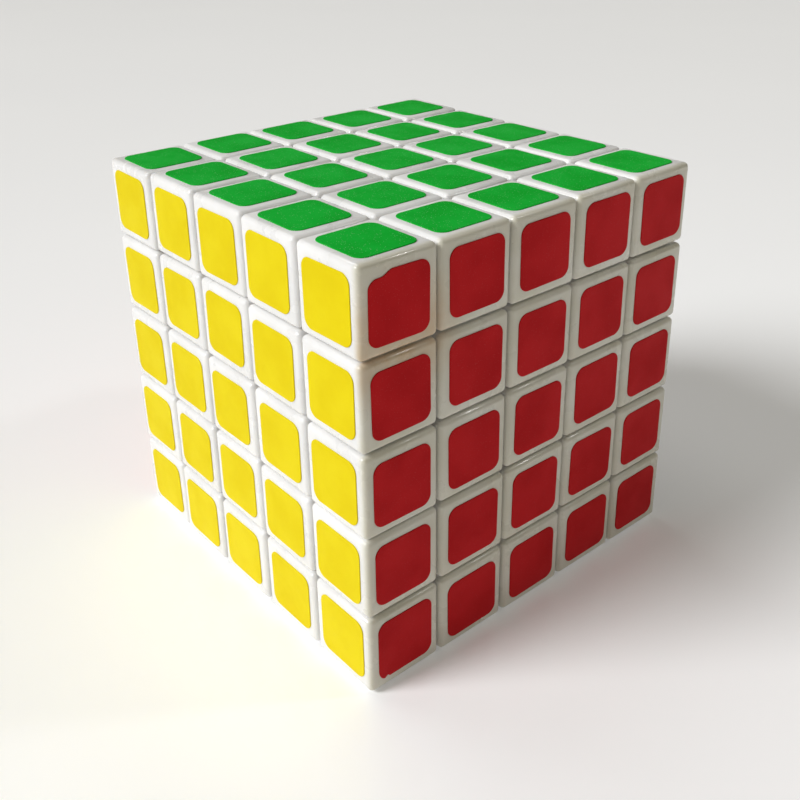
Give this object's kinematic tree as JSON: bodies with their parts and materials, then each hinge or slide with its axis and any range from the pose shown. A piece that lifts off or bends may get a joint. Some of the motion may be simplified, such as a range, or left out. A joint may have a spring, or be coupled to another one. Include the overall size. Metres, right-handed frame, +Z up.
{
  "type": "twisty puzzle cube",
  "caption": "Cube puzzle of layers that turn about three axes, with rounded white cubies, inner feet, a screwed core and springs.",
  "frame": {"origin": "under the middle of the cube, on the surface it stands on", "axes": "+Z up through the green face, -Y out of the yellow face, +X out of the red face"},
  "size_m": [0.0698, 0.0698, 0.0697],
  "materials": {
    "white_plastic": "smooth, slightly translucent white moulding",
    "grey_plastic": "plain moulded",
    "zinc_steel": "zinc plated",
    "sticker_green": "satin vinyl sticker",
    "sticker_yellow": "satin vinyl sticker",
    "sticker_red": "satin vinyl sticker",
    "sticker_blue": "satin vinyl sticker",
    "sticker_orange": "satin vinyl sticker",
    "sticker_black": "satin vinyl sticker"
  },
  "bodies": {
    "core": {"core_spider": "grey_plastic", "screw_top": "zinc_steel", "screw_bottom": "zinc_steel", "screw_right": "zinc_steel", "screw_left": "zinc_steel", "screw_back": "zinc_steel", "screw_front": "zinc_steel", "spring_top": "zinc_steel", "spring_bottom": "zinc_steel", "spring_right": "zinc_steel", "spring_left": "zinc_steel", "spring_back": "zinc_steel", "spring_front": "zinc_steel"},
    "centre_block_top": {"centre_block_top": "white_plastic"},
    "turntable_upper": {"turntable_upper": "grey_plastic"},
    "turntable_lower": {"turntable_lower": "grey_plastic"},
    "centre_block_bottom": {"centre_block_bottom": "white_plastic"},
    "centre_row_middle_right": {"centre_row_middle_right": "white_plastic"},
    "centre_row_middle_left": {"centre_row_middle_left": "white_plastic"},
    "centre_row_middle_front": {"centre_row_middle_front": "white_plastic"},
    "centre_row_middle_back": {"centre_row_middle_back": "white_plastic"},
    "edge_middle_front_right": {"edge_middle_front_right": "white_plastic"},
    "edge_middle_back_right": {"edge_middle_back_right": "white_plastic"},
    "edge_middle_front_left": {"edge_middle_front_left": "white_plastic"},
    "edge_middle_back_left": {"edge_middle_back_left": "white_plastic"},
    "edge_row_top_right": {"edge_row_top_right": "white_plastic"},
    "edge_row_top_left": {"edge_row_top_left": "white_plastic"},
    "edge_row_top_front": {"edge_row_top_front": "white_plastic"},
    "edge_row_top_back": {"edge_row_top_back": "white_plastic"},
    "corner_top_front_right": {"corner_top_front_right": "white_plastic"},
    "corner_top_back_right": {"corner_top_back_right": "white_plastic"},
    "corner_top_front_left": {"corner_top_front_left": "white_plastic"},
    "corner_top_back_left": {"corner_top_back_left": "white_plastic"},
    "centre_row_upper_right": {"centre_row_upper_right": "white_plastic"},
    "centre_row_upper_left": {"centre_row_upper_left": "white_plastic"},
    "centre_row_upper_front": {"centre_row_upper_front": "white_plastic"},
    "centre_row_upper_back": {"centre_row_upper_back": "white_plastic"},
    "wing_upper_front_right": {"wing_upper_front_right": "white_plastic"},
    "wing_upper_back_right": {"wing_upper_back_right": "white_plastic"},
    "wing_upper_front_left": {"wing_upper_front_left": "white_plastic"},
    "wing_upper_back_left": {"wing_upper_back_left": "white_plastic"},
    "centre_row_lower_right": {"centre_row_lower_right": "white_plastic"},
    "centre_row_lower_left": {"centre_row_lower_left": "white_plastic"},
    "centre_row_lower_front": {"centre_row_lower_front": "white_plastic"},
    "centre_row_lower_back": {"centre_row_lower_back": "white_plastic"},
    "wing_lower_front_right": {"wing_lower_front_right": "white_plastic"},
    "wing_lower_back_right": {"wing_lower_back_right": "white_plastic"},
    "wing_lower_front_left": {"wing_lower_front_left": "white_plastic"},
    "wing_lower_back_left": {"wing_lower_back_left": "white_plastic"},
    "edge_row_bottom_right": {"edge_row_bottom_right": "white_plastic"},
    "edge_row_bottom_left": {"edge_row_bottom_left": "white_plastic"},
    "edge_row_bottom_front": {"edge_row_bottom_front": "white_plastic"},
    "edge_row_bottom_back": {"edge_row_bottom_back": "white_plastic"},
    "corner_bottom_front_right": {"corner_bottom_front_right": "white_plastic"},
    "corner_bottom_back_right": {"corner_bottom_back_right": "white_plastic"},
    "corner_bottom_front_left": {"corner_bottom_front_left": "white_plastic"},
    "corner_bottom_back_left": {"corner_bottom_back_left": "white_plastic"}
  },
  "joints": [
    {"name": "turn_top", "type": "hinge", "parent": "core", "child": "centre_block_top", "pos_m": [0, 0, 0.03485], "axis": [0, 0, 1], "range_deg": [-180, 180]},
    {"name": "turn_upper", "type": "hinge", "parent": "core", "child": "turntable_upper", "pos_m": [0, 0, 0.03485], "axis": [0, 0, 1], "range_deg": [-180, 180]},
    {"name": "turn_lower", "type": "hinge", "parent": "core", "child": "turntable_lower", "pos_m": [0, 0, 0.03485], "axis": [0, 0, -1], "range_deg": [-180, 180]},
    {"name": "turn_bottom", "type": "hinge", "parent": "core", "child": "centre_block_bottom", "pos_m": [0, 0, 0.03485], "axis": [0, 0, -1], "range_deg": [-180, 180]},
    {"name": "turn_right", "type": "hinge", "parent": "core", "child": "centre_row_middle_right", "pos_m": [0, 0, 0.03485], "axis": [1, 0, 0], "range_deg": [-180, 180]},
    {"name": "turn_left", "type": "hinge", "parent": "core", "child": "centre_row_middle_left", "pos_m": [0, 0, 0.03485], "axis": [-1, 0, 0], "range_deg": [-180, 180]},
    {"name": "turn_front", "type": "hinge", "parent": "core", "child": "centre_row_middle_front", "pos_m": [0, 0, 0.03485], "axis": [0, -1, 0], "range_deg": [-180, 180]},
    {"name": "turn_back", "type": "hinge", "parent": "core", "child": "centre_row_middle_back", "pos_m": [0, 0, 0.03485], "axis": [0, 1, 0], "range_deg": [-180, 180]},
    {"name": "front_middle_right", "type": "hinge", "parent": "centre_row_middle_right", "child": "edge_middle_front_right", "pos_m": [0, 0, 0.03485], "axis": [0, -1, 0], "range_deg": [-180, 180]},
    {"name": "back_middle_right", "type": "hinge", "parent": "centre_row_middle_right", "child": "edge_middle_back_right", "pos_m": [0, 0, 0.03485], "axis": [0, 1, 0], "range_deg": [-180, 180]},
    {"name": "front_middle_left", "type": "hinge", "parent": "centre_row_middle_left", "child": "edge_middle_front_left", "pos_m": [0, 0, 0.03485], "axis": [0, -1, 0], "range_deg": [-180, 180]},
    {"name": "back_middle_left", "type": "hinge", "parent": "centre_row_middle_left", "child": "edge_middle_back_left", "pos_m": [0, 0, 0.03485], "axis": [0, 1, 0], "range_deg": [-180, 180]},
    {"name": "right_top", "type": "hinge", "parent": "centre_block_top", "child": "edge_row_top_right", "pos_m": [0, 0, 0.03485], "axis": [1, 0, 0], "range_deg": [-180, 180]},
    {"name": "left_top", "type": "hinge", "parent": "centre_block_top", "child": "edge_row_top_left", "pos_m": [0, 0, 0.03485], "axis": [-1, 0, 0], "range_deg": [-180, 180]},
    {"name": "front_top", "type": "hinge", "parent": "centre_block_top", "child": "edge_row_top_front", "pos_m": [0, 0, 0.03485], "axis": [0, -1, 0], "range_deg": [-180, 180]},
    {"name": "back_top", "type": "hinge", "parent": "centre_block_top", "child": "edge_row_top_back", "pos_m": [0, 0, 0.03485], "axis": [0, 1, 0], "range_deg": [-180, 180]},
    {"name": "front_top_right", "type": "hinge", "parent": "edge_row_top_right", "child": "corner_top_front_right", "pos_m": [0, 0, 0.03485], "axis": [0, -1, 0], "range_deg": [-180, 180]},
    {"name": "back_top_right", "type": "hinge", "parent": "edge_row_top_right", "child": "corner_top_back_right", "pos_m": [0, 0, 0.03485], "axis": [0, 1, 0], "range_deg": [-180, 180]},
    {"name": "front_top_left", "type": "hinge", "parent": "edge_row_top_left", "child": "corner_top_front_left", "pos_m": [0, 0, 0.03485], "axis": [0, -1, 0], "range_deg": [-180, 180]},
    {"name": "back_top_left", "type": "hinge", "parent": "edge_row_top_left", "child": "corner_top_back_left", "pos_m": [0, 0, 0.03485], "axis": [0, 1, 0], "range_deg": [-180, 180]},
    {"name": "right_upper", "type": "hinge", "parent": "turntable_upper", "child": "centre_row_upper_right", "pos_m": [0, 0, 0.03485], "axis": [1, 0, 0], "range_deg": [-180, 180]},
    {"name": "left_upper", "type": "hinge", "parent": "turntable_upper", "child": "centre_row_upper_left", "pos_m": [0, 0, 0.03485], "axis": [-1, 0, 0], "range_deg": [-180, 180]},
    {"name": "front_upper", "type": "hinge", "parent": "turntable_upper", "child": "centre_row_upper_front", "pos_m": [0, 0, 0.03485], "axis": [0, -1, 0], "range_deg": [-180, 180]},
    {"name": "back_upper", "type": "hinge", "parent": "turntable_upper", "child": "centre_row_upper_back", "pos_m": [0, 0, 0.03485], "axis": [0, 1, 0], "range_deg": [-180, 180]},
    {"name": "front_upper_right", "type": "hinge", "parent": "centre_row_upper_right", "child": "wing_upper_front_right", "pos_m": [0, 0, 0.03485], "axis": [0, -1, 0], "range_deg": [-180, 180]},
    {"name": "back_upper_right", "type": "hinge", "parent": "centre_row_upper_right", "child": "wing_upper_back_right", "pos_m": [0, 0, 0.03485], "axis": [0, 1, 0], "range_deg": [-180, 180]},
    {"name": "front_upper_left", "type": "hinge", "parent": "centre_row_upper_left", "child": "wing_upper_front_left", "pos_m": [0, 0, 0.03485], "axis": [0, -1, 0], "range_deg": [-180, 180]},
    {"name": "back_upper_left", "type": "hinge", "parent": "centre_row_upper_left", "child": "wing_upper_back_left", "pos_m": [0, 0, 0.03485], "axis": [0, 1, 0], "range_deg": [-180, 180]},
    {"name": "right_lower", "type": "hinge", "parent": "turntable_lower", "child": "centre_row_lower_right", "pos_m": [0, 0, 0.03485], "axis": [1, 0, 0], "range_deg": [-180, 180]},
    {"name": "left_lower", "type": "hinge", "parent": "turntable_lower", "child": "centre_row_lower_left", "pos_m": [0, 0, 0.03485], "axis": [-1, 0, 0], "range_deg": [-180, 180]},
    {"name": "front_lower", "type": "hinge", "parent": "turntable_lower", "child": "centre_row_lower_front", "pos_m": [0, 0, 0.03485], "axis": [0, -1, 0], "range_deg": [-180, 180]},
    {"name": "back_lower", "type": "hinge", "parent": "turntable_lower", "child": "centre_row_lower_back", "pos_m": [0, 0, 0.03485], "axis": [0, 1, 0], "range_deg": [-180, 180]},
    {"name": "front_lower_right", "type": "hinge", "parent": "centre_row_lower_right", "child": "wing_lower_front_right", "pos_m": [0, 0, 0.03485], "axis": [0, -1, 0], "range_deg": [-180, 180]},
    {"name": "back_lower_right", "type": "hinge", "parent": "centre_row_lower_right", "child": "wing_lower_back_right", "pos_m": [0, 0, 0.03485], "axis": [0, 1, 0], "range_deg": [-180, 180]},
    {"name": "front_lower_left", "type": "hinge", "parent": "centre_row_lower_left", "child": "wing_lower_front_left", "pos_m": [0, 0, 0.03485], "axis": [0, -1, 0], "range_deg": [-180, 180]},
    {"name": "back_lower_left", "type": "hinge", "parent": "centre_row_lower_left", "child": "wing_lower_back_left", "pos_m": [0, 0, 0.03485], "axis": [0, 1, 0], "range_deg": [-180, 180]},
    {"name": "right_bottom", "type": "hinge", "parent": "centre_block_bottom", "child": "edge_row_bottom_right", "pos_m": [0, 0, 0.03485], "axis": [1, 0, 0], "range_deg": [-180, 180]},
    {"name": "left_bottom", "type": "hinge", "parent": "centre_block_bottom", "child": "edge_row_bottom_left", "pos_m": [0, 0, 0.03485], "axis": [-1, 0, 0], "range_deg": [-180, 180]},
    {"name": "front_bottom", "type": "hinge", "parent": "centre_block_bottom", "child": "edge_row_bottom_front", "pos_m": [0, 0, 0.03485], "axis": [0, -1, 0], "range_deg": [-180, 180]},
    {"name": "back_bottom", "type": "hinge", "parent": "centre_block_bottom", "child": "edge_row_bottom_back", "pos_m": [0, 0, 0.03485], "axis": [0, 1, 0], "range_deg": [-180, 180]},
    {"name": "front_bottom_right", "type": "hinge", "parent": "edge_row_bottom_right", "child": "corner_bottom_front_right", "pos_m": [0, 0, 0.03485], "axis": [0, -1, 0], "range_deg": [-180, 180]},
    {"name": "back_bottom_right", "type": "hinge", "parent": "edge_row_bottom_right", "child": "corner_bottom_back_right", "pos_m": [0, 0, 0.03485], "axis": [0, 1, 0], "range_deg": [-180, 180]},
    {"name": "front_bottom_left", "type": "hinge", "parent": "edge_row_bottom_left", "child": "corner_bottom_front_left", "pos_m": [0, 0, 0.03485], "axis": [0, -1, 0], "range_deg": [-180, 180]},
    {"name": "back_bottom_left", "type": "hinge", "parent": "edge_row_bottom_left", "child": "corner_bottom_back_left", "pos_m": [0, 0, 0.03485], "axis": [0, 1, 0], "range_deg": [-180, 180]}
  ],
  "couplings": [
    {"joint": "front_middle_right", "follows": "turn_front", "ratio": 1},
    {"joint": "back_middle_right", "follows": "turn_back", "ratio": 1},
    {"joint": "front_middle_left", "follows": "turn_front", "ratio": 1},
    {"joint": "back_middle_left", "follows": "turn_back", "ratio": 1},
    {"joint": "right_top", "follows": "turn_right", "ratio": 1},
    {"joint": "left_top", "follows": "turn_left", "ratio": 1},
    {"joint": "front_top", "follows": "turn_front", "ratio": 1},
    {"joint": "back_top", "follows": "turn_back", "ratio": 1},
    {"joint": "front_top_right", "follows": "turn_front", "ratio": 1},
    {"joint": "back_top_right", "follows": "turn_back", "ratio": 1},
    {"joint": "front_top_left", "follows": "turn_front", "ratio": 1},
    {"joint": "back_top_left", "follows": "turn_back", "ratio": 1},
    {"joint": "right_upper", "follows": "turn_right", "ratio": 1},
    {"joint": "left_upper", "follows": "turn_left", "ratio": 1},
    {"joint": "front_upper", "follows": "turn_front", "ratio": 1},
    {"joint": "back_upper", "follows": "turn_back", "ratio": 1},
    {"joint": "front_upper_right", "follows": "turn_front", "ratio": 1},
    {"joint": "back_upper_right", "follows": "turn_back", "ratio": 1},
    {"joint": "front_upper_left", "follows": "turn_front", "ratio": 1},
    {"joint": "back_upper_left", "follows": "turn_back", "ratio": 1},
    {"joint": "right_lower", "follows": "turn_right", "ratio": 1},
    {"joint": "left_lower", "follows": "turn_left", "ratio": 1},
    {"joint": "front_lower", "follows": "turn_front", "ratio": 1},
    {"joint": "back_lower", "follows": "turn_back", "ratio": 1},
    {"joint": "front_lower_right", "follows": "turn_front", "ratio": 1},
    {"joint": "back_lower_right", "follows": "turn_back", "ratio": 1},
    {"joint": "front_lower_left", "follows": "turn_front", "ratio": 1},
    {"joint": "back_lower_left", "follows": "turn_back", "ratio": 1},
    {"joint": "right_bottom", "follows": "turn_right", "ratio": 1},
    {"joint": "left_bottom", "follows": "turn_left", "ratio": 1},
    {"joint": "front_bottom", "follows": "turn_front", "ratio": 1},
    {"joint": "back_bottom", "follows": "turn_back", "ratio": 1},
    {"joint": "front_bottom_right", "follows": "turn_front", "ratio": 1},
    {"joint": "back_bottom_right", "follows": "turn_back", "ratio": 1},
    {"joint": "front_bottom_left", "follows": "turn_front", "ratio": 1},
    {"joint": "back_bottom_left", "follows": "turn_back", "ratio": 1}
  ]
}
